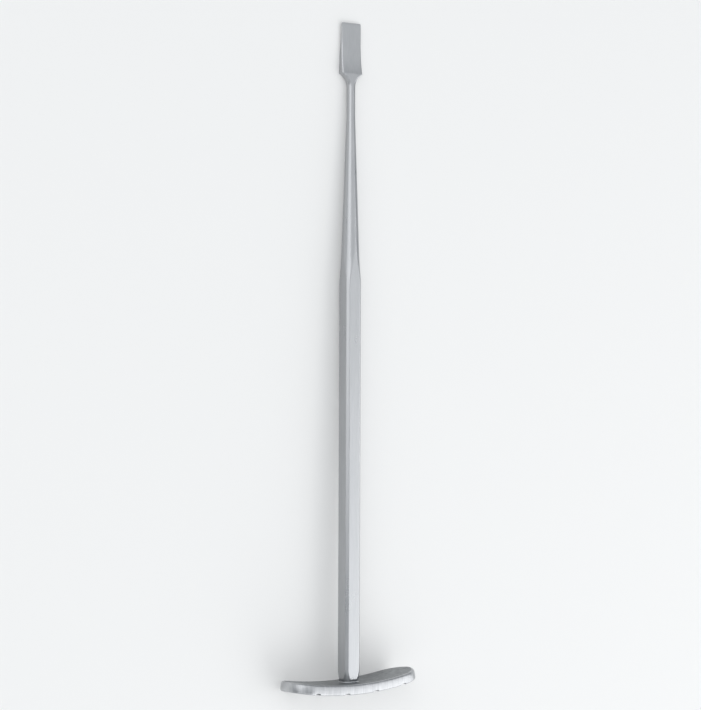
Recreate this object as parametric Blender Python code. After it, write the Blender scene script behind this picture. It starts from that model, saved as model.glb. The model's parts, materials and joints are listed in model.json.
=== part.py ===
# Osteotome for use in the palm: a short chisel blade on a slim turned neck, a square bar with
# chamfered corners as the handle, and a bent plate across its foot that takes the palm.
#
# Lengths are in metres. The instrument is modelled along +Y, from the palm plate (y = 0 on its
# hollow face) to the cutting edge, with the blade's width along X and its thickness along Z.
# It is then laid down as it comes to rest, on one long side of the plate and the blade's back.
from math import cos, pi, radians, sin, sqrt

import bmesh
import bpy
from mathutils import Euler, Matrix, Vector

# Blade, measured from the shoulder to the cutting edge
BLADE_LENGTH = 0.0185
BLADE_EDGE_WIDTH = 0.0082
BLADE_ROOT_WIDTH = 0.0087
BLADE_FRONT_DEPTH = 0.00085
BLADE_BACK_DEPTH = 0.00142
BACK_BEVEL_LENGTH = 0.0105
BACK_BEVEL_DEPTH = 0.0012
BACK_BEVEL_WHEEL_RADIUS = 0.045
HONED_BEVEL_LENGTH = 0.0006
HONED_BEVEL_THICKNESS = 0.00034
CUTTING_EDGE_THICKNESS = 0.00012
TIP_CORNER_RADIUS = 0.00045
LONG_EDGE_RADIUS = 0.00018

# Neck: a straight waist below the shoulder, then a taper that flares into the bar's corners
SHOULDER_RADIUS = 0.0055
WAIST_LENGTH = 0.0104
WAIST_DIAMETER = 0.0031
NECK_LENGTH = 0.0495
NECK_ROOT_DIAMETER = 0.0064
FLARE_RADIUS = 0.127

# Handle: a square bar with chamfered corners, relieved at the foot
HANDLE_LENGTH = 0.1540
BAR_ACROSS_FLATS = 0.00635
BAR_CHAMFER = 0.0009
FOOT_DIAMETER = 0.0068
FOOT_TAPER_LENGTH = 0.0033

# Palm plate: length along its hollow face, ends rounded to a half circle. It is welded on a
# little out of square, with its +X end nearer to the blade.
PLATE_LENGTH = 0.0544
PLATE_WIDTH = 0.0178
PLATE_THICKNESS = 0.0037
PLATE_BEND_RADIUS = 0.126
PLATE_TILT = radians(2.5)
PLATE_EDGE_RADIUS = 0.0006
GRIP_GROOVES = 4
GRIP_GROOVE_PITCH = 0.0120
GRIP_GROOVE_WIDTH = 0.0018
GRIP_GROOVE_DEPTH = 0.0004

# Even space left between the bar's foot and the plate that it is welded to
SEAT_GAP = 0.0003

# Fineness of the faceted surfaces
CORNER_POINTS = 10
FLARE_STEPS = 12
SHOULDER_STEPS = 12
TIP_CORNER_STEPS = 4
BACK_BEVEL_STEPS = 6
PLATE_END_POINTS = 20
PLATE_SLICE = 0.0015
GROOVE_SIDES = 24
SHARP_ANGLE = radians(28)
WELD_DISTANCE = 0.000002

STEEL_COLOUR = (0.62, 0.64, 0.66, 1.0)
STEEL_ROUGHNESS = 0.32

# Sizes that follow from the ones above
NECK_ROOT = HANDLE_LENGTH
NECK_TIP = NECK_ROOT + NECK_LENGTH
SHOULDER_START = NECK_TIP + WAIST_LENGTH
SHOULDER_RISE = (BLADE_ROOT_WIDTH - WAIST_DIAMETER) / 2
SHOULDER_LENGTH = sqrt(SHOULDER_RADIUS ** 2 - (SHOULDER_RADIUS - SHOULDER_RISE) ** 2)
BLADE_ROOT = SHOULDER_START + SHOULDER_LENGTH
BLADE_TIP = BLADE_ROOT + BLADE_LENGTH
NECK_SLOPE = (NECK_ROOT_DIAMETER - WAIST_DIAMETER) / 2 / NECK_LENGTH
BAR_CORNER_RADIUS = sqrt((BAR_ACROSS_FLATS / 2) ** 2 + (BAR_ACROSS_FLATS / 2 - BAR_CHAMFER) ** 2)
BLANK_RADIUS = BAR_CORNER_RADIUS * 1.08


def clear_scene():
    for item in list(bpy.data.objects):
        bpy.data.objects.remove(item)


def new_collection(name):
    collection = bpy.data.collections.new(name)
    bpy.context.scene.collection.children.link(collection)
    return collection


def steel(name):
    material = bpy.data.materials.new(name)
    material.use_nodes = True
    shader = material.node_tree.nodes["Principled BSDF"]
    shader.inputs["Base Color"].default_value = STEEL_COLOUR
    shader.inputs["Metallic"].default_value = 1.0
    shader.inputs["Roughness"].default_value = STEEL_ROUGHNESS
    material.diffuse_color = STEEL_COLOUR
    return material


def new_object(name, mesh, collection, material=None):
    item = bpy.data.objects.new(name, mesh)
    collection.objects.link(item)
    if material:
        mesh.materials.append(material)
    return item


def as_cutter(item):
    item.hide_render = True
    item.display_type = "WIRE"
    return item


def cut(item, cutter):
    modifier = item.modifiers.new("cut by " + cutter.name, "BOOLEAN")
    modifier.operation = "DIFFERENCE"
    modifier.solver = "EXACT"
    modifier.object = cutter


def outline_prism(name, outlines, half_height, edge_radius=0.0):
    """Closed flat outlines, given as lists of (x, y), filled and extruded both ways along Z."""
    curve = bpy.data.curves.new(name, "CURVE")
    curve.dimensions = "2D"
    curve.fill_mode = "BOTH"
    curve.extrude = half_height - edge_radius
    curve.bevel_depth = edge_radius
    curve.bevel_resolution = 2
    for outline in outlines:
        spline = curve.splines.new("POLY")
        spline.points.add(len(outline) - 1)
        for point, (x, y) in zip(spline.points, outline):
            point.co = (x, y, 0.0, 1.0)
        spline.use_cyclic_u = True
    holder = bpy.data.objects.new(name, curve)
    bpy.context.scene.collection.objects.link(holder)
    evaluated = holder.evaluated_get(bpy.context.evaluated_depsgraph_get())
    mesh = bpy.data.meshes.new_from_object(evaluated)
    bpy.data.objects.remove(holder)
    bpy.data.curves.remove(curve)
    mesh.name = name
    return mesh


def weld(mesh):
    """Join the loose caps of a filled curve and let each flat cap be one face."""
    body = bmesh.new()
    body.from_mesh(mesh)
    bmesh.ops.remove_doubles(body, verts=body.verts, dist=WELD_DISTANCE)
    bmesh.ops.dissolve_limit(body, angle_limit=radians(0.5), verts=body.verts, edges=body.edges)
    bmesh.ops.recalc_face_normals(body, faces=body.faces)
    body.to_mesh(mesh)
    body.free()


def rounded_section(y, half_width, front, back, corner):
    """One ring of the bar: a rectangle with round corners, which is a circle where all four agree."""
    centres = (
        (half_width - corner, front - corner),
        (corner - half_width, front - corner),
        (corner - half_width, corner - back),
        (half_width - corner, corner - back),
    )
    ring = []
    for quarter, (x, z) in enumerate(centres):
        for step in range(CORNER_POINTS):
            angle = (quarter + (step + 0.5) / CORNER_POINTS) * pi / 2
            ring.append(Vector((x + corner * cos(angle), y, z + corner * sin(angle))))
    return ring


def round_section(y, radius):
    return rounded_section(y, radius, radius, radius, radius)


def blend(start, end, share):
    return start + (end - start) * share


def hollow_face_height(x):
    """Where the plate's bent and tilted hollow face crosses the instrument's middle plane."""
    centre_x = -PLATE_BEND_RADIUS * sin(PLATE_TILT)
    centre_y = PLATE_BEND_RADIUS * cos(PLATE_TILT)
    return centre_y - sqrt(PLATE_BEND_RADIUS ** 2 - (x - centre_x) ** 2)


def foot_and_handle_sections():
    """The turned blank: fitted to the plate and relieved at the foot, then wider than the bar."""
    foot_radius = FOOT_DIAMETER / 2
    slope = (BAR_CORNER_RADIUS - foot_radius) / FOOT_TAPER_LENGTH
    taper_end = SEAT_GAP + (BLANK_RADIUS - foot_radius) / slope
    foot = round_section(0.0, foot_radius)
    for point in foot:
        point.y = SEAT_GAP + hollow_face_height(point.x)
    return [foot, round_section(taper_end, BLANK_RADIUS)]


def neck_sections():
    """The flare falls on a long radius from the blank to the neck's root, then a plain taper."""
    root_radius = NECK_ROOT_DIAMETER / 2
    drop = BLANK_RADIUS - root_radius
    flare = FLARE_RADIUS * (sqrt(NECK_SLOPE ** 2 + 2 * drop / FLARE_RADIUS) - NECK_SLOPE)
    sections = []
    for step in range(FLARE_STEPS + 1):
        below = flare * (1 - step / FLARE_STEPS)
        radius = root_radius + NECK_SLOPE * below + below ** 2 / (2 * FLARE_RADIUS)
        sections.append(round_section(NECK_ROOT - below, radius))
    sections.append(round_section(NECK_TIP, WAIST_DIAMETER / 2))
    return sections


def shoulder_sections():
    """The round waist spreads on an arc into the flat root of the blade."""
    waist = WAIST_DIAMETER / 2
    sections = []
    for step in range(SHOULDER_STEPS + 1):
        share = step / SHOULDER_STEPS
        along = SHOULDER_LENGTH * sin(share * pi / 2)
        half_width = waist + SHOULDER_RADIUS - sqrt(SHOULDER_RADIUS ** 2 - along ** 2)
        spread = along / SHOULDER_LENGTH
        front = blend(waist, BLADE_FRONT_DEPTH, spread)
        back = blend(waist, BLADE_BACK_DEPTH, spread)
        corner = blend(waist, LONG_EDGE_RADIUS, spread)
        sections.append(rounded_section(SHOULDER_START + along, half_width, front, back, corner))
    return sections


def blade_half_width(from_tip):
    """Straight sides, drawn in over the rounded corners of the cutting edge."""
    half_width = blend(BLADE_EDGE_WIDTH, BLADE_ROOT_WIDTH, from_tip / BLADE_LENGTH) / 2
    inside = max(TIP_CORNER_RADIUS - from_tip, 0.0)
    return half_width - TIP_CORNER_RADIUS + sqrt(TIP_CORNER_RADIUS ** 2 - inside ** 2)


def honed_depth(from_tip):
    return blend(CUTTING_EDGE_THICKNESS, HONED_BEVEL_THICKNESS, from_tip / HONED_BEVEL_LENGTH) / 2


def front_depth(from_tip):
    """The front face slopes from the blade's root to the honed bevel in one plane."""
    if from_tip < HONED_BEVEL_LENGTH:
        return honed_depth(from_tip)
    share = (from_tip - HONED_BEVEL_LENGTH) / (BLADE_LENGTH - HONED_BEVEL_LENGTH)
    return blend(HONED_BEVEL_THICKNESS / 2, BLADE_FRONT_DEPTH, share)


def back_depth(from_tip):
    """The back face is flat up to its bevel, which is hollow from the wheel that ground it."""
    if from_tip < HONED_BEVEL_LENGTH:
        return honed_depth(from_tip)
    if from_tip > BACK_BEVEL_LENGTH:
        share = (from_tip - BACK_BEVEL_LENGTH) / (BLADE_LENGTH - BACK_BEVEL_LENGTH)
        return blend(BACK_BEVEL_DEPTH, BLADE_BACK_DEPTH, share)
    length = BACK_BEVEL_LENGTH - HONED_BEVEL_LENGTH
    share = (from_tip - HONED_BEVEL_LENGTH) / length
    hollow = share * (1 - share) * length ** 2 / (2 * BACK_BEVEL_WHEEL_RADIUS)
    straight = blend(HONED_BEVEL_THICKNESS / 2, BACK_BEVEL_DEPTH, share)
    return max(straight - hollow, HONED_BEVEL_THICKNESS / 2)


def blade_sections():
    """Front and back meet at the cutting edge, whose corners are rounded in the width."""
    corner_stations = [TIP_CORNER_RADIUS * (1 - cos(pi / 2 * step / TIP_CORNER_STEPS))
                       for step in range(TIP_CORNER_STEPS + 1)]
    bevel_stations = [blend(HONED_BEVEL_LENGTH, BACK_BEVEL_LENGTH, step / BACK_BEVEL_STEPS)
                      for step in range(BACK_BEVEL_STEPS + 1)]
    sections = []
    for from_tip in sorted(bevel_stations + corner_stations, reverse=True):
        front = front_depth(from_tip)
        back = back_depth(from_tip)
        corner = min(LONG_EDGE_RADIUS, 0.45 * (front + back))
        sections.append(rounded_section(BLADE_TIP - from_tip, blade_half_width(from_tip), front, back, corner))
    return sections


def loft(name, sections):
    """Skin a row of rings that have the same number of points, and close both ends."""
    body = bmesh.new()
    rings = [[body.verts.new(point) for point in section] for section in sections]
    count = len(rings[0])
    for lower, upper in zip(rings, rings[1:]):
        for index in range(count):
            following = (index + 1) % count
            body.faces.new((lower[index], lower[following], upper[following], upper[index]))
    caps = [body.faces.new(rings[0]), body.faces.new(rings[-1])]
    bmesh.ops.triangulate(body, faces=caps)
    bmesh.ops.recalc_face_normals(body, faces=body.faces)
    mesh = bpy.data.meshes.new(name)
    body.to_mesh(mesh)
    body.free()
    return mesh


def make_bar(parts, cutters):
    """Blade, neck and handle, ground from one bar."""
    sections = foot_and_handle_sections() + neck_sections() + shoulder_sections() + blade_sections()
    mesh = loft("osteotome_bar", sections)
    bar = new_object("osteotome_bar", mesh, parts, steel("bar steel"))
    flats = make_flats_cutter(cutters)
    cut(bar, flats)
    mesh.shade_smooth()
    mesh.set_sharp_from_angle(angle=SHARP_ANGLE)
    return bar, flats


def make_flats_cutter(cutters):
    """A square sleeve with the bar's chamfered square as its bore, past both ends of the flats."""
    half = BAR_ACROSS_FLATS / 2
    inner = half - BAR_CHAMFER
    bore = [(half, inner), (inner, half), (-inner, half), (-half, inner),
            (-half, -inner), (-inner, -half), (inner, -half), (half, -inner)]
    wall = BLANK_RADIUS * 1.3
    sleeve = [(wall, wall), (-wall, wall), (-wall, -wall), (wall, -wall)]
    inside_flats = 0.97 * half
    top = NECK_ROOT + (NECK_ROOT_DIAMETER / 2 - inside_flats) / NECK_SLOPE
    bottom = -FOOT_TAPER_LENGTH
    mesh = outline_prism("handle_flats_cutter", [sleeve, bore], (top - bottom) / 2)
    weld(mesh)
    mesh.transform(Matrix.Translation((0, (top + bottom) / 2, 0)) @ Matrix.Rotation(-pi / 2, 4, "X"))
    return as_cutter(new_object("handle_flats_cutter", mesh, cutters))


def plate_outline():
    """A straight-sided outline with half-circle ends, drawn inside its rounded edge."""
    end_radius = PLATE_WIDTH / 2 - PLATE_EDGE_RADIUS
    centre = PLATE_LENGTH / 2 - PLATE_WIDTH / 2
    points = []
    for side in (0, 1):
        for step in range(PLATE_END_POINTS + 1):
            angle = (side + step / PLATE_END_POINTS - 0.5) * pi
            x = centre * (1 - 2 * side) + end_radius * cos(angle)
            points.append((x, end_radius * sin(angle)))
    return points


def slice_along_x(mesh, length, step):
    """Add straight edges across the plate, so that it can bend."""
    body = bmesh.new()
    body.from_mesh(mesh)
    count = int(length / step / 2)
    for index in range(-count, count + 1):
        everything = list(body.verts) + list(body.edges) + list(body.faces)
        bmesh.ops.bisect_plane(body, geom=everything, plane_co=(index * step, 0, 0), plane_no=(1, 0, 0),
                               dist=WELD_DISTANCE)
    body.to_mesh(mesh)
    body.free()


def bend_towards_blade(point):
    """Roll the flat plate up, with its length kept along the hollow face at y = 0."""
    angle = point.x / PLATE_BEND_RADIUS
    radius = PLATE_BEND_RADIUS - point.y
    return Vector((radius * sin(angle), PLATE_BEND_RADIUS - radius * cos(angle), point.z))


def make_plate(parts, cutters):
    """The palm plate, cut out flat with rounded edges and bent, with grip grooves in its palm face."""
    mesh = outline_prism("palm_plate", [plate_outline()], PLATE_THICKNESS / 2, PLATE_EDGE_RADIUS)
    weld(mesh)
    slice_along_x(mesh, PLATE_LENGTH, PLATE_SLICE)
    mesh.transform(Matrix.Translation((0, -PLATE_THICKNESS / 2, 0)) @ Matrix.Rotation(pi / 2, 4, "X"))
    for vertex in mesh.vertices:
        vertex.co = bend_towards_blade(vertex.co)
    plate = new_object("palm_plate", mesh, parts, steel("plate steel"))
    grooves = make_groove_cutter(cutters)
    cut(plate, grooves)
    for item in (plate, grooves):
        item.rotation_euler = Euler((0, 0, PLATE_TILT))
    mesh.shade_smooth()
    mesh.set_sharp_from_angle(angle=SHARP_ANGLE)
    return plate, grooves


def make_groove_cutter(cutters):
    """Rods laid across the palm face, sunk to the depth that gives the groove its width."""
    radius = (GRIP_GROOVE_WIDTH ** 2 / 4 + GRIP_GROOVE_DEPTH ** 2) / (2 * GRIP_GROOVE_DEPTH)
    body = bmesh.new()
    for index in range(GRIP_GROOVES):
        along = (index - (GRIP_GROOVES - 1) / 2) * GRIP_GROOVE_PITCH
        centre = bend_towards_blade(Vector((along, -PLATE_THICKNESS - radius + GRIP_GROOVE_DEPTH, 0)))
        turn = Matrix.Rotation(along / PLATE_BEND_RADIUS, 4, "Z")
        bmesh.ops.create_cone(body, cap_ends=True, segments=GROOVE_SIDES, radius1=radius, radius2=radius,
                              depth=PLATE_WIDTH * 1.2, matrix=Matrix.Translation(centre) @ turn)
    mesh = bpy.data.meshes.new("grip_groove_cutter")
    body.to_mesh(mesh)
    body.free()
    return as_cutter(new_object("grip_groove_cutter", mesh, cutters))


def rest_rotation():
    """Lay the instrument on both ends of the plate's lower side and on what the bar touches first."""
    straight_half = (PLATE_LENGTH - PLATE_WIDTH) / 2
    turn = Matrix.Rotation(PLATE_TILT, 3, "Z")
    left, right = [turn @ bend_towards_blade(Vector((x, -PLATE_EDGE_RADIUS, -PLATE_WIDTH / 2)))
                   for x in (-straight_half, straight_half)]
    flat_end = NECK_ROOT + (NECK_ROOT_DIAMETER - BAR_ACROSS_FLATS) / 2 / NECK_SLOPE
    lowest_spots = [
        Vector((0, flat_end, -BAR_ACROSS_FLATS / 2)),
        Vector((0, SHOULDER_START, -WAIST_DIAMETER / 2)),
        Vector((0, BLADE_ROOT, -BLADE_BACK_DEPTH)),
        Vector((0, BLADE_TIP - BACK_BEVEL_LENGTH, -BACK_BEVEL_DEPTH)),
        Vector((0, BLADE_TIP, -CUTTING_EDGE_THICKNESS / 2)),
    ]
    side = (left + right) / 2
    touch = min(lowest_spots, key=lambda spot: (spot.z - side.z) / (spot.y - side.y))
    downwards = (touch - left).cross(right - left)
    return downwards.rotation_difference(Vector((0, 0, -1)))


def lay_down(parts, pieces):
    """Carry every piece by one empty, turned to rest, with the box's bottom centre at the origin."""
    rest = bpy.data.objects.new("rest_pose", None)
    parts.objects.link(rest)
    for piece in pieces:
        piece.parent = rest
    rest.rotation_mode = "QUATERNION"
    rest.rotation_quaternion = rest_rotation()
    bpy.context.view_layer.update()
    depsgraph = bpy.context.evaluated_depsgraph_get()
    points = []
    for piece in parts.objects:
        if piece.type == "MESH":
            evaluated = piece.evaluated_get(depsgraph)
            points += [evaluated.matrix_world @ vertex.co for vertex in evaluated.data.vertices]
    middle_x = (min(p.x for p in points) + max(p.x for p in points)) / 2
    middle_y = (min(p.y for p in points) + max(p.y for p in points)) / 2
    rest.location = (-middle_x, -middle_y, -min(p.z for p in points))
    bpy.context.view_layer.update()


def build():
    clear_scene()
    parts = new_collection("osteotome")
    cutters = new_collection("cutters")
    bar, flats = make_bar(parts, cutters)
    plate, grooves = make_plate(parts, cutters)
    lay_down(parts, (bar, plate, flats, grooves))


build()
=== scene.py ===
import json
from math import asin, cos, exp, hypot, log, pi, radians, sin, sqrt

import bmesh
import bpy
from mathutils import Matrix, Vector


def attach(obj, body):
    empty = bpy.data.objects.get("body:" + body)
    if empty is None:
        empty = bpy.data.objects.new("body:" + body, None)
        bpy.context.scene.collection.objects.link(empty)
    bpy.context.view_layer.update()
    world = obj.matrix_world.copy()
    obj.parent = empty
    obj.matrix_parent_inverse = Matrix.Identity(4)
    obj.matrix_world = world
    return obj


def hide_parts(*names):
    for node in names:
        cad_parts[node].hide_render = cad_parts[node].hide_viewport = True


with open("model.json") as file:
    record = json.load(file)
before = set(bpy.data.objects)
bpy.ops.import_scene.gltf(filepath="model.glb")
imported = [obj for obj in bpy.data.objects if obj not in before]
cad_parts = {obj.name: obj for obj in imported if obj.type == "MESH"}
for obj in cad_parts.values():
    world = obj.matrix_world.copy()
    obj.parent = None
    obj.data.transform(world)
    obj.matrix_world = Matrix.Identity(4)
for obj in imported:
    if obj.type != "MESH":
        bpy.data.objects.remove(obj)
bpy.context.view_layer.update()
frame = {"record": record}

# Bone chisel for the palm, lying at rest. Lengths are in millimetres along the tool's own axes,
# x across the blade, y from the palm plate to the cutting edge, z out of the blade's front.

mm = 0.001
tiny = 1e-9        # keeps a division from failing
mounts = {mount["name"]: mount for mount in frame["record"]["mounts"]}


def blend(start, end, share):
    return start + (end - start) * share


def spaced(start, end, count):        # count steps, both ends included
    return [blend(start, end, index / count) for index in range(count + 1)]


def softMin(values, width):        # the smallest value, with the corner between two of them rounded
    least = min(values)
    return least - width * log(sum(exp((least - value) / width) for value in values))


def bridge(body, lower, upper):        # quads between two loops of equal length
    for index in range(len(lower)):
        following = (index + 1) % len(lower)
        body.faces.new((lower[index], lower[following], upper[following], upper[index]))


def smoothBody(body):
    bmesh.ops.recalc_face_normals(body, faces=body.faces)
    for face in body.faces:
        face.smooth = True


def meshFrom(name, body):
    mesh = bpy.data.meshes.new(name)
    body.to_mesh(mesh)
    body.free()
    return mesh


def skin(name, rings, joined=False):        # over neighbouring rings, capped or joined end to end
    body = bmesh.new()
    loops = [[body.verts.new(point) for point in ring] for ring in rings]
    for lower, upper in zip(loops, loops[1:]):
        bridge(body, lower, upper)
    if joined:
        bridge(body, loops[-1], loops[0])
    else:
        for loop in (loops[0], loops[-1]):
            middle = body.verts.new(sum((vertex.co for vertex in loop), Vector()) / len(loop))
            for index, vertex in enumerate(loop):
                body.faces.new((vertex, loop[(index + 1) % len(loop)], middle))
    smoothBody(body)
    return meshFrom(name, body)


bar = {
    "acrossFlats": 6.35,      # quarter-inch square stock
    "chamfer": 0.9,
    "flatsAt": 75.0,          # where the record measures both flats, from the plate's hollow face
    "footRadius": 3.4,
    "footTaper": 3.3,
    "seatGap": 0.3,
    "handle": 154.0,
    "neck": 49.5,
    "neckRootRadius": 3.2,
    "flareRadius": 127.0,
    "clearRadius": 1.08,      # turned radius along the handle, in corner radii, so that only flats show
    "waist": 10.4,
    "waistRadius": 1.55,
    "edgeBreak": 0.035,       # how far the stone took the handle's arrises off
    "ringPoints": 320,
    "footStations": (1.2, 5.0, 10),             # first ring, last ring and the steps between them
    "handleStations": (12.0, 132.0, 12),
    "scallopStations": (134.0, 158.0, 60),      # close together, where the flats run out into the neck
    "neckStations": (161.0, 202.5, 14),
    "waistStations": (204.5, 213.7, 4),
}
neckRoot = bar["handle"]
neckTip = neckRoot + bar["neck"]
halfFlats = bar["acrossFlats"] / 2
chamferDistance = (bar["acrossFlats"] - bar["chamfer"]) / sqrt(2)
cornerRadius = hypot(halfFlats, halfFlats - bar["chamfer"])
neckSlope = (bar["neckRootRadius"] - bar["waistRadius"]) / bar["neck"]


def toolPlace():        # the tool's axes and its zero point, from the two flats that the record measures
    up = Vector(mounts["handle_upper_flat"]["axis"]).normalized()
    across = Vector(mounts["handle_side_flat"]["axis"]).normalized()
    along = up.cross(across)
    onFlat = Vector(mounts["handle_upper_flat"]["pos_m"])
    zero = onFlat - along * bar["flatsAt"] * mm - up * halfFlats * mm
    axes = Matrix((across, along, up)).transposed().to_4x4()
    axes.translation = zero
    return axes


place = toolPlace()
alongTool = place.to_3x3() @ Vector((0, 1, 0))


def addPiece(name, mesh, *materials):        # a mesh in tool millimetres, put where the tool lies
    mesh.transform(place @ Matrix.Scale(mm, 4))
    piece = bpy.data.objects.new(name, mesh)
    bpy.context.scene.collection.objects.link(piece)
    for material in materials:
        mesh.materials.append(material)
    return piece


def turnedRadius(y):        # the round that the lathe left, before and after the flats
    if y < neckRoot:
        fromFoot = max(y - bar["seatGap"], 0.0)
        taper = bar["footRadius"] + (cornerRadius - bar["footRadius"]) * fromFoot / bar["footTaper"]
        below = neckRoot - y
        flare = bar["neckRootRadius"] + neckSlope * below + below ** 2 / (2 * bar["flareRadius"])
        return min(taper, flare, cornerRadius * bar["clearRadius"])
    return max(bar["neckRootRadius"] - neckSlope * (y - neckRoot), bar["waistRadius"])


def barRadius(y, angle):        # flats, chamfers and the round, whichever is nearest to the axis
    c, s = abs(cos(angle)), abs(sin(angle))
    faces = [turnedRadius(y)]
    if y < neckTip:
        faces += [halfFlats / max(c, s), chamferDistance / ((c + s) / sqrt(2))]
    return softMin(faces, bar["edgeBreak"])


def ringAngles():
    return [2 * pi * (index + 0.5) / bar["ringPoints"] for index in range(bar["ringPoints"])]


def barRing(y, footShape=False):        # the foot's own ring follows the plate's hollow
    ring = []
    for angle in ringAngles():
        radius = barRadius(y, angle)
        x, z = radius * cos(angle), radius * sin(angle)
        ring.append(Vector((x, y + (hollowFace(x) if footShape else 0.0), z)))
    return ring


blade = {
    "length": 18.5,
    "edgeWidth": 8.2,
    "rootWidth": 8.7,
    "shoulderRadius": 5.5,
    "frontDepth": 0.85,       # from the middle plane to each face, at the root
    "backDepth": 1.42,
    "backBevel": 10.5,
    "bevelDepth": 1.2,        # to the back face, where its bevel starts
    "wheelRadius": 45.0,      # of the wheel that hollowed the back bevel
    "frontHollow": 0.15,      # by which the front face dips halfway along
    "rootSwell": 0.4,         # the front face climbs towards the neck over its last stretch
    "swellLength": 6.5,
    "honedLength": 0.6,
    "honedHalf": 0.12,
    "edgeHalf": 0.06,
    "tipCorner": 0.45,
    "frontEdge": 0.62,        # rounding along the sides, more on the front than on the back
    "backEdge": 0.18,
    "edgeRoom": 0.9,          # most of the thickness that both roundings take where the blade is thin
    "frontShare": 0.7,        # of that room
    "flattening": 1.6,        # over 1, the shoulder's edges stay round until close to the blade
    "shoulderSteps": 40,      # between the mesh's rings, here and below
    "rootSteps": 24,
    "bevelSteps": 16,
    "tipSteps": 6,
}
shoulderStart = neckTip + bar["waist"]
shoulderRise = blade["rootWidth"] / 2 - bar["waistRadius"]
shoulderLength = sqrt(blade["shoulderRadius"] ** 2 - (blade["shoulderRadius"] - shoulderRise) ** 2)
bladeTip = shoulderStart + shoulderLength + blade["length"]


def honedDepth(fromTip):
    return blend(blade["edgeHalf"], blade["honedHalf"], fromTip / blade["honedLength"])


def frontDepth(fromTip):
    if fromTip < blade["honedLength"]:
        return honedDepth(fromTip)
    share = (fromTip - blade["honedLength"]) / (blade["length"] - blade["honedLength"])
    dip = 4 * blade["frontHollow"] * share * (1 - share)
    climb = max(1 - (blade["length"] - fromTip) / blade["swellLength"], 0.0)
    swell = blade["rootSwell"] * climb ** 2
    return max(blend(blade["honedHalf"], blade["frontDepth"], share) - dip + swell, blade["honedHalf"])


def backDepth(fromTip):
    if fromTip < blade["honedLength"]:
        return honedDepth(fromTip)
    if fromTip > blade["backBevel"]:
        share = (fromTip - blade["backBevel"]) / (blade["length"] - blade["backBevel"])
        return blend(blade["bevelDepth"], blade["backDepth"], share)
    length = blade["backBevel"] - blade["honedLength"]
    share = (fromTip - blade["honedLength"]) / length
    hollow = share * (1 - share) * length ** 2 / (2 * blade["wheelRadius"])
    return max(blend(blade["honedHalf"], blade["bevelDepth"], share) - hollow, blade["honedHalf"])


def bladeHalfWidth(fromTip):
    halfWidth = blend(blade["edgeWidth"], blade["rootWidth"], fromTip / blade["length"]) / 2
    inside = max(blade["tipCorner"] - fromTip, 0.0)
    return halfWidth - blade["tipCorner"] + sqrt(blade["tipCorner"] ** 2 - inside ** 2)


def sectionReach(c, s, halfWidth, depths, corners):        # how far the ray (c, s) runs inside the section
    reach = min(halfWidth / max(abs(c), tiny), depths[0 if s > 0 else 1] / max(abs(s), tiny))
    for depth, corner, sign in zip(depths, corners, (1, -1)):        # front first, then back
        centreX, centreZ = halfWidth - corner, sign * (depth - corner)
        if reach * abs(c) > centreX and sign * (reach * s - centreZ) > 0:        # out through the rounding
            squared = c * c + s * s
            towards = abs(c) * centreX + s * centreZ
            outside = centreX ** 2 + centreZ ** 2 - corner ** 2
            reach = (towards + sqrt(max(towards ** 2 - squared * outside, 0.0))) / squared
    return reach


def sectionRing(y, halfWidth, depths, corners):
    ring = []
    for angle in ringAngles():
        c, s = halfWidth * cos(angle), depths[0 if sin(angle) > 0 else 1] * sin(angle)
        reach = sectionReach(c, s, halfWidth, depths, corners)
        ring.append(Vector((reach * c, y, reach * s)))
    return ring


def shoulderRing(along):        # the round neck flattens as it widens into the blade
    waist = bar["waistRadius"]
    halfWidth = waist + blade["shoulderRadius"] - sqrt(blade["shoulderRadius"] ** 2 - along ** 2)
    spread = along / shoulderLength
    depthsAtRoot = (frontDepth(blade["length"]), blade["backDepth"])
    depths = [blend(waist, depthAtRoot, spread) for depthAtRoot in depthsAtRoot]
    flat = spread ** blade["flattening"]
    corners = [min(blend(waist, blade[side + "Edge"], flat), halfWidth) for side in ("front", "back")]
    return sectionRing(shoulderStart + along, halfWidth, depths, corners)


def bladeRing(fromTip):
    depths = [frontDepth(fromTip), backDepth(fromTip)]
    room = blade["edgeRoom"] * sum(depths)
    frontRoom = blade["frontShare"] * room
    corners = [min(blade["frontEdge"], frontRoom), min(blade["backEdge"], room - frontRoom)]
    return sectionRing(bladeTip - fromTip, bladeHalfWidth(fromTip), depths, corners)


def makeBar(material):        # handle, neck and blade in one skin
    rings = [barRing(bar["seatGap"], footShape=True)]
    for stretch in ("foot", "handle", "scallop", "neck", "waist"):
        rings += [barRing(y) for y in spaced(*bar[stretch + "Stations"])]
    quarterTurns = [pi / 2 * share for share in spaced(0.0, 1.0, blade["shoulderSteps"])]
    rings += [shoulderRing(shoulderLength * sin(turn)) for turn in quarterTurns]
    quarterTurns = [pi / 2 * share for share in spaced(0.0, 1.0, blade["tipSteps"])]
    tipStations = [blade["tipCorner"] * (1 - cos(turn)) for turn in quarterTurns]
    bevelStations = spaced(blade["honedLength"], blade["backBevel"], blade["bevelSteps"])
    rootStations = spaced(blade["backBevel"], blade["length"], blade["rootSteps"])[1:-1]
    stations = sorted(tipStations + bevelStations + rootStations, reverse=True)
    rings += [bladeRing(fromTip) for fromTip in stations]
    return addPiece("groundBar", skin("groundBar", rings), material)


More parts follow.
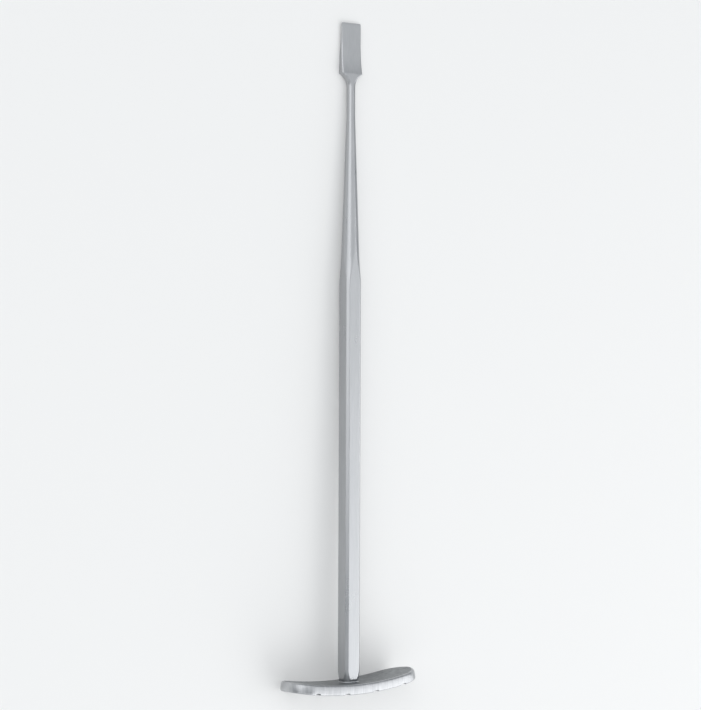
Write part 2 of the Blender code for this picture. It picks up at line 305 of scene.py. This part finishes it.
# the palm plate is laid out flat, x along it, y through its thickness and z across, and then bent
plate = {
    "length": 54.36,          # along the hollow face
    "width": 17.8,
    "thickness": 3.69,
    "bendRadius": 126.0,
    "tilt": radians(2.5),     # the welder set it a little out of square
    "edgeRadius": 0.6,
    "innerEdgeRadius": 0.7,   # along the hollow face, where the palm's side was eased more
    "crown": 0.2,             # by which the sides bulge over their thickness
    "sideRadius": 360.0,      # of the slight bow of the long sides
    "grooves": 4,
    "groovePitch": 12.0,
    "grooveWidth": 2.1,
    "grooveDepth": 0.7,
    "grooveSquareness": 4,    # 2 gives a half ellipse, more gives steeper walls
    "grooveReach": 1.25,      # half the stretch with closer stations at each groove
    "edgeOfGroove": 0.02,     # what is cut less deep than this keeps the plate's finish
    "sideSteps": 18,          # between the mesh's stations, here and below
    "grooveSteps": 20,
    "endSteps": 36,
    "innerEdgeSteps": 8,
    "wallSteps": 6,
    "outerEdgeSteps": 6,
    "lanes": 10,              # across both faces
    "sharpFrom": radians(25),
}


def hollowFace(x):        # height of the plate's hollow face over the tool's zero point
    radius = plate["bendRadius"]
    centreX = -radius * sin(plate["tilt"])
    return radius * cos(plate["tilt"]) - sqrt(radius ** 2 - (x - centreX) ** 2)


def bendPoint(x, y, z):
    angle = x / plate["bendRadius"]
    radius = plate["bendRadius"] - y
    bentX, bentY = radius * sin(angle), plate["bendRadius"] - radius * cos(angle)
    c, s = cos(plate["tilt"]), sin(plate["tilt"])
    return Vector((bentX * c - bentY * s, bentX * s + bentY * c, z))


def grooveMiddles():
    first = -(plate["grooves"] - 1) / 2
    return [(first + index) * plate["groovePitch"] for index in range(plate["grooves"])]


def grooveFloor(x):        # lowest that the palm face may lie at x
    floor = -plate["thickness"]
    for middle in grooveMiddles():
        share = min(abs(x - middle) / (plate["grooveWidth"] / 2), 1.0)
        floor += plate["grooveDepth"] * sqrt(1 - share ** plate["grooveSquareness"])
    return floor


def plateOutline():        # (x, z, outward x, outward z) round the half where z is positive
    halfLength = plate["length"] / 2 - plate["edgeRadius"]
    halfWidth = plate["width"] / 2 - plate["edgeRadius"]
    radius = plate["sideRadius"]
    toEnd, toSide = radius - halfLength, radius - halfWidth
    endCentre = (toSide ** 2 - toEnd ** 2) / (2 * toEnd)        # where side arc and end arc share a tangent
    endRadius = halfLength - endCentre
    turn = asin(endCentre / (radius - endRadius))
    sideEnd = radius * sin(turn)
    stations = spaced(0.0, sideEnd, plate["sideSteps"])
    for middle in grooveMiddles():
        near = spaced(middle - plate["grooveReach"], middle + plate["grooveReach"], plate["grooveSteps"])
        stations += [station for station in near if 0.0 < station < sideEnd]
    right = []
    for x in sorted(set(round(station, 4) for station in stations)):
        lean = asin(x / radius)
        right.append((x, radius * cos(lean) - toSide, sin(lean), cos(lean)))
    for angle in spaced(turn, pi / 2, plate["endSteps"])[1:]:
        right.append((endCentre + endRadius * sin(angle), endRadius * cos(angle), sin(angle), cos(angle)))
    left = [(-x, z, -outX, outZ) for x, z, outX, outZ in right if x > 0]
    return sorted(left + right)


def plateProfile():        # (outward, y) round the plate's side, from the hollow face to the palm face
    edge, inner, thickness = plate["edgeRadius"], plate["innerEdgeRadius"], plate["thickness"]
    innerTurns = spaced(0.0, pi / 2, plate["innerEdgeSteps"])
    outerTurns = spaced(0.0, pi / 2, plate["outerEdgeSteps"])
    profile = [(edge - inner + inner * sin(turn), inner * cos(turn) - inner) for turn in innerTurns]
    profile += [(edge, y) for y in spaced(-inner, edge - thickness, plate["wallSteps"])[1:-1]]
    profile += [(edge * cos(turn), edge - thickness - edge * sin(turn)) for turn in outerTurns]
    middle = thickness / 2
    return [(out - plate["crown"] * ((y + middle) / middle) ** 2, y) for out, y in profile]


def makePlate(sideMaterial, hollowMaterialWithPaintedShade, groovePaintedShadeMaterial):
    profile = plateProfile()
    outline = plateOutline()
    lanes = plate["lanes"]
    body = bmesh.new()
    cut = set()        # vertices that the grooves moved

    def vertex(x, y, z):
        point = body.verts.new(bendPoint(x, max(y, grooveFloor(x)), z))
        if grooveFloor(x) > y + plate["edgeOfGroove"]:
            cut.add(point)
        return point

    loop = outline + [(x, -z, outX, -outZ) for x, z, outX, outZ in reversed(outline[1:-1])]
    rim = [[vertex(x + outX * out, y, z + outZ * out) for x, z, outX, outZ in loop] for out, y in profile]
    for lower, upper in zip(rim, rim[1:]):
        bridge(body, lower, upper)
    for row, y in ((rim[0], profile[0][1]), (rim[-1], profile[-1][1])):        # hollow face, then palm face
        columns = [[row[0]]]
        for index in range(1, len(outline) - 1):
            x, z = outline[index][:2]
            inside = [vertex(x, y, blend(z, -z, lane / lanes)) for lane in range(1, lanes)]
            columns.append([row[index]] + inside + [row[len(row) - index]])
        columns.append([row[len(outline) - 1]])
        for before, after in zip(columns, columns[1:]):
            for lane in range(lanes):
                corners = [before[min(lane, len(before) - 1)], before[min(lane + 1, len(before) - 1)],
                           after[min(lane + 1, len(after) - 1)], after[min(lane, len(after) - 1)]]
                face = body.faces.new(list(dict.fromkeys(corners)))
                # the hollow face gets the steel with the darker, painted shade
                face.material_index = 1 if row is rim[0] else 0
    smoothBody(body)
    # faces that the grooves cut get the darker grey of the painted groove shade
    for face in body.faces:
        if sum(point in cut for point in face.verts) > 2:
            face.material_index = 2
    mesh = meshFrom("palmPlate", body)
    mesh.set_sharp_from_angle(angle=plate["sharpFrom"])
    return addPiece("palmPlate", mesh, sideMaterial, hollowMaterialWithPaintedShade, groovePaintedShadeMaterial)


weld = {
    "leg": 0.36,
    "ripple": 0.08,
    "waves": 9,               # of the ripple round the bar, which slower waves make uneven
    "slowWaves": 4,
    "unevenness": 1.3,
    "intoBar": 0.25,
    "intoPlate": 0.04,
    "ringPoints": 160,
    "arcSteps": 8,
    "sharpFrom": radians(50),
}


def makeWeld(material):        # a dressed fillet in the corner between the bar's foot and the plate
    leg, into, under = weld["leg"], -weld["intoBar"], -weld["intoPlate"]
    turns = spaced(pi / 2, 0.0, weld["arcSteps"])
    arc = [(leg - leg * sin(turn), leg - leg * cos(turn)) for turn in turns]
    section = [(into, leg)] + arc + [(leg, under), (into, under)]
    rings = []
    for index in range(weld["ringPoints"]):
        angle = 2 * pi * index / weld["ringPoints"]
        foot = barRadius(bar["seatGap"], angle)
        wave = weld["waves"] * angle + weld["unevenness"] * sin(weld["slowWaves"] * angle)
        swell = 1 + weld["ripple"] * sin(wave)
        ring = []
        for out, up in section:
            radius = foot + (out * swell if out > 0 else out)
            x, z = radius * cos(angle), radius * sin(angle)
            ring.append(Vector((x, hollowFace(x) + up, z)))
        rings.append(ring)
    mesh = skin("footWeld", rings, joined=True)
    mesh.set_sharp_from_angle(angle=weld["sharpFrom"])
    return addPiece("footWeld", mesh, material)


def linearColour(hexCode):        # sRGB hex to the linear values that Blender's sockets hold
    channels = [int(hexCode[start:start + 2], 16) / 255 for start in (1, 3, 5)]
    linear = [c / 12.92 if c <= 0.04045 else ((c + 0.055) / 1.055) ** 2.4 for c in channels]
    return (*linear, 1.0)


def addNode(tree, kind, settings=None, links=None):        # one node, its values, and what feeds it
    node = tree.nodes.new(kind)
    for key, value in (settings or {}).items():
        if isinstance(key, int) or key in node.inputs:
            node.inputs[key].default_value = value
        else:
            setattr(node, key, value)
    for key, source in (links or {}).items():
        tree.links.new(source, node.inputs[key])
    return node


pattern = {
    "roughness": 0.6,         # of the noise itself
    "lineDetail": 3.0,
    "cloudDetail": 2.0,
    "low": 0.3,               # noise hardly leaves this stretch, so it is spread out from there
    "high": 0.7,
}


def groundSteel(look):        # lines and clouds share in the tint, clouds alone change the gloss
    material = bpy.data.materials.new(look["name"])
    material.use_nodes = True
    tree = material.node_tree
    shader = tree.nodes["Principled BSDF"]
    shader.inputs["Metallic"].default_value = 1.0
    coordinates = addNode(tree, "ShaderNodeTexCoord").outputs["Object"]
    noises = []
    for kind in ("line", "cloud"):
        scale = [1 / (cell * mm) for cell in look[kind + "Cell"]]
        mapping = addNode(tree, "ShaderNodeMapping", {"Scale": scale}, {"Vector": coordinates})
        settings = {"Scale": 1.0, "Detail": pattern[kind + "Detail"], "Roughness": pattern["roughness"]}
        noise = addNode(tree, "ShaderNodeTexNoise", settings, {"Vector": mapping.outputs["Vector"]})
        noises.append(noise.outputs["Fac"])
    lines, clouds = noises

    settings = {"operation": "MULTIPLY", 1: 1 - look["lineShare"]}
    cloudPart = addNode(tree, "ShaderNodeMath", settings, {0: clouds}).outputs["Value"]
    settings = {"operation": "MULTIPLY_ADD", 1: look["lineShare"]}
    both = addNode(tree, "ShaderNodeMath", settings, {0: lines, 2: cloudPart}).outputs["Value"]
    settings = {"From Min": pattern["low"], "From Max": pattern["high"], "To Min": 0.0, "To Max": 1.0}
    share = addNode(tree, "ShaderNodeMapRange", settings, {"Value": both}).outputs["Result"]
    settings = {"data_type": "RGBA", 6: linearColour(look["dark"]), 7: linearColour(look["light"])}
    tint = addNode(tree, "ShaderNodeMix", settings, {0: share}).outputs[2]        # 6, 7 and 2 hold colours
    tree.links.new(tint, shader.inputs["Base Color"])

    settings = {"From Min": pattern["low"], "From Max": pattern["high"],
                "To Min": look["roughness"] - look["roughSpread"],
                "To Max": look["roughness"] + look["roughSpread"]}
    rough = addNode(tree, "ShaderNodeMapRange", settings, {"Value": clouds}).outputs["Result"]
    tree.links.new(rough, shader.inputs["Roughness"])

    settings = {"Strength": look["bump"], "Distance": look["bumpDepth"] * mm}
    bump = addNode(tree, "ShaderNodeBump", settings, {"Height": lines}).outputs["Normal"]
    tree.links.new(bump, shader.inputs["Normal"])
    if look["anisotropy"]:
        shader.inputs["Anisotropic"].default_value = look["anisotropy"]
        normal = addNode(tree, "ShaderNodeNewGeometry").outputs["Normal"]
        settings = {"operation": "CROSS_PRODUCT", 1: alongTool}
        across = addNode(tree, "ShaderNodeVectorMath", settings, {0: normal}).outputs["Vector"]
        tree.links.new(across, shader.inputs["Tangent"])
    return material


# cells and bump depths are in millimetres
barSteel = groundSteel({        # grey satin; fine scratches run down the tool and spread light across it
    "name": "satinGroundSteel",
    "light": "#b9babc", "dark": "#aeb0b2",
    "roughness": 0.30, "roughSpread": 0.03,
    "lineCell": (0.3, 14.0, 0.3), "lineShare": 0.6,        # real scratches are finer than a pixel
    "cloudCell": (5.0, 16.0, 5.0),        # faint patches, where the belt bore a little harder
    "bump": 0.25, "bumpDepth": 0.01,
    "anisotropy": 0.5,
})
plateSteel = groundSteel({        # same steel, ground across the plate, so the lines cross its sides
    "name": "crossGroundSteel",
    "light": "#c8c9cb", "dark": "#a5a7a9",
    "roughness": 0.38, "roughSpread": 0.03,
    "lineCell": (0.8, 9.0, 9.0), "lineShare": 0.75,        # coarser than the real lines, so that they show
    "cloudCell": (4.0, 4.0, 4.0),
    "bump": 0.4, "bumpDepth": 0.02,
    "anisotropy": 0.0,
})
hollowSteelWithPaintedShade = groundSteel({        # painted shade: a darker tint that stands for the shade on the hollow face; duller, with short crossing marks of a small flap wheel
    "name": "flapWheelSteelWithPaintedShade",
    "light": "#a2a5a7", "dark": "#626568",
    "roughness": 0.42, "roughSpread": 0.05,
    "lineCell": (1.8, 1.8, 1.0), "lineShare": 0.7,         # the real marks are finer
    "cloudCell": (3.0, 3.0, 3.0),
    "bump": 0.5, "bumpDepth": 0.05,
    "anisotropy": 0.0,
})
groovePaintedShade = groundSteel({        # painted shade: a darker grey that stands for the shade inside the grooves; duller, as no wheel reaches into the cuts
    "name": "paintedGrooveShade",
    "light": "#77797c", "dark": "#54565a",
    "roughness": 0.5, "roughSpread": 0.06,
    "lineCell": (0.5, 0.5, 1.5), "lineShare": 0.6,
    "cloudCell": (2.0, 2.0, 2.0),
    "bump": 0.4, "bumpDepth": 0.03,
    "anisotropy": 0.0,
})
weldSteel = groundSteel({        # small bright bead, filed smooth by hand
    "name": "dressedWeldSteel",
    "light": "#c6c8ca", "dark": "#a9abad",
    "roughness": 0.3, "roughSpread": 0.05,
    "lineCell": (0.5, 0.5, 0.5), "lineShare": 0.5,
    "cloudCell": (1.5, 1.5, 1.5),
    "bump": 0.4, "bumpDepth": 0.03,
    "anisotropy": 0.0,
})

groundBar = makeBar(barSteel)
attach(groundBar, "root")
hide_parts("osteotome_bar")
print("bar done:", len(groundBar.data.polygons), "faces")

palmPlate = makePlate(plateSteel, hollowSteelWithPaintedShade, groovePaintedShade)
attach(palmPlate, "root")
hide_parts("palm_plate")
print("palm plate done:", len(palmPlate.data.polygons), "faces")

footWeld = makeWeld(weldSteel)
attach(footWeld, "root")
print("weld done:", len(footWeld.data.polygons), "faces")


camera = {
    "round": radians(34.05),      # turned about the tool's length, from its front towards its left
    "distance": 882.1,
    "height": 95.22,              # along the tool, from the plate
    "pitch": radians(1.432),
    "yaw": radians(-0.0138),
    "roll": radians(0.225),
    "focalPixels": 2450.6,
    "pictureHeight": 710,
    "sensor": 36.0,
    "nearest": 0.05,              # clipping, in metres
    "farthest": 20.0,
}


def makeCamera():
    spin = Matrix.Rotation(-camera["round"], 4, "Y")
    aim = Matrix.Rotation(camera["pitch"], 4, "X") @ Matrix.Rotation(camera["yaw"], 4, "Y")
    spot = Matrix.Translation((0, camera["height"] * mm, 0)) @ spin
    spot = spot @ Matrix.Translation((0, 0, camera["distance"] * mm))
    turn = spot @ aim @ Matrix.Rotation(camera["roll"], 4, "Z")
    data = bpy.data.cameras.new("photoCamera")
    data.sensor_width = camera["sensor"]
    data.lens = camera["focalPixels"] / camera["pictureHeight"] * camera["sensor"]
    data.clip_start, data.clip_end = camera["nearest"], camera["farthest"]
    item = bpy.data.objects.new("photoCamera", data)
    bpy.context.scene.collection.objects.link(item)
    item.matrix_world = place @ turn
    bpy.context.scene.camera = item


makeCamera()
print("camera done")

floor = {
    "size": 6.0,              # in metres
    "colour": "#ececeb",
    "roughness": 0.9,
    "specular": 0.1,
    "sweepColour": "#ffffff",
    "sweepShare": 0.17,       # how much of what camera, metal and glass see is a lit white sweep
}


def makeFloor():
    material = bpy.data.materials.new("matteWhiteTable")        # painted board, pale and without gloss
    material.use_nodes = True
    tree = material.node_tree
    paint = tree.nodes["Principled BSDF"]
    paint.inputs["Base Color"].default_value = linearColour(floor["colour"])
    paint.inputs["Roughness"].default_value = floor["roughness"]
    paint.inputs["Specular IOR Level"].default_value = floor["specular"]
    settings = {"Color": linearColour(floor["sweepColour"]), "Strength": 1.0}
    sweep = addNode(tree, "ShaderNodeEmission", settings).outputs["Emission"]
    path = addNode(tree, "ShaderNodeLightPath")
    seen = path.outputs["Is Camera Ray"]
    for ray in ("Is Glossy Ray", "Is Transmission Ray"):
        either = addNode(tree, "ShaderNodeMath", {"operation": "MAXIMUM"}, {0: seen, 1: path.outputs[ray]})
        seen = either.outputs["Value"]
    settings = {"operation": "MULTIPLY", 1: floor["sweepShare"]}
    share = addNode(tree, "ShaderNodeMath", settings, {0: seen}).outputs["Value"]
    blended = addNode(tree, "ShaderNodeMixShader", None, {0: share, 1: paint.outputs["BSDF"], 2: sweep})
    tree.links.new(blended.outputs["Shader"], tree.nodes["Material Output"].inputs["Surface"])
    body = bmesh.new()
    bmesh.ops.create_grid(body, x_segments=1, y_segments=1, size=floor["size"] / 2)
    mesh = meshFrom("tableTop", body)
    mesh.materials.append(material)
    item = bpy.data.objects.new("tableTop", mesh)
    bpy.context.scene.collection.objects.link(item)


makeFloor()
print("floor done")

# side is the angle from straight up towards the picture's left, along the one towards the blade
lamps = {
    "lowRight": {"side": -52, "along": -33, "distance": 1.15, "size": (1.85, 1.2), "radiance": 1.7},
    "overhead": {"side": -5, "along": 16, "distance": 1.4, "size": (2.9, 1.5), "radiance": 0.54},
    "left": {"side": 54, "along": 21, "distance": 1.2, "size": (1.15, 1.0), "radiance": 1.1},
    "lowLeft": {"side": 42, "along": -40, "distance": 1.3, "size": (1.2, 0.9), "radiance": 0.7},
}


def makeLamp(name, settings):
    side, along = radians(settings["side"]), radians(settings["along"])
    outwards = Vector((-sin(side) * cos(along), sin(along), cos(side) * cos(along)))
    data = bpy.data.lights.new(name, "AREA")
    data.shape = "RECTANGLE"
    data.size, data.size_y = settings["size"]
    data.energy = settings["radiance"] * pi * data.size * data.size_y
    item = bpy.data.objects.new(name, data)
    bpy.context.scene.collection.objects.link(item)
    item.location = outwards * settings["distance"]
    item.rotation_mode = "QUATERNION"
    item.rotation_quaternion = outwards.to_track_quat("Z", "Y")


for lampName, lampSettings in lamps.items():
    makeLamp(lampName, lampSettings)

walls = {
    "colour": "#e2e8ee",      # what the white room round the lamps sends back
    "strength": 0.46,
}


def makeWorld():
    world = bpy.data.worlds.new("studio")
    world.use_nodes = True
    background = world.node_tree.nodes["Background"]
    background.inputs["Color"].default_value = linearColour(walls["colour"])
    background.inputs["Strength"].default_value = walls["strength"]
    bpy.context.scene.world = world


makeWorld()
bpy.context.scene.view_settings.view_transform = "Standard"
print("light done")
